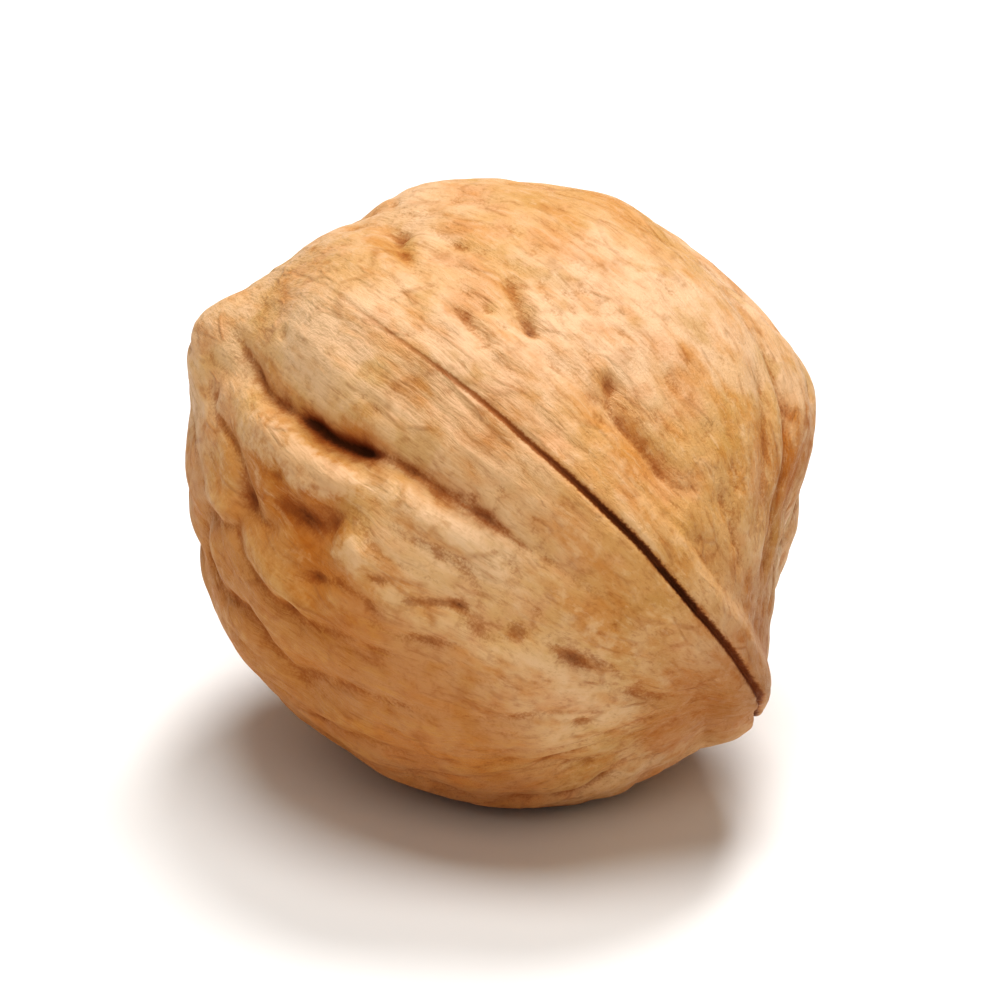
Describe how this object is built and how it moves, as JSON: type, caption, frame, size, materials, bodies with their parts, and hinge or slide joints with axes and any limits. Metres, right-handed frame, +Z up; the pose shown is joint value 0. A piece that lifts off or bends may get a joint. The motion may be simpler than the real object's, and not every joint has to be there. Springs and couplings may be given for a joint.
{
  "type": "walnut",
  "caption": "Whole walnut in its closed shell, lying on its side, with a raised suture and seam, long furrows, a pointed apex and a stem scar.",
  "frame": {"origin": "on the surface that the nut rests on, under the middle of its bounding box", "axes": "+Z up; -Y towards the viewer of the picture; the apex points towards +X and -Y, a little downwards"},
  "size_m": [0.039, 0.0388, 0.0364],
  "materials": {
    "walnut_shell": "satin"
  },
  "bodies": {
    "root": {"walnut": "walnut_shell"}
  },
  "joints": []
}
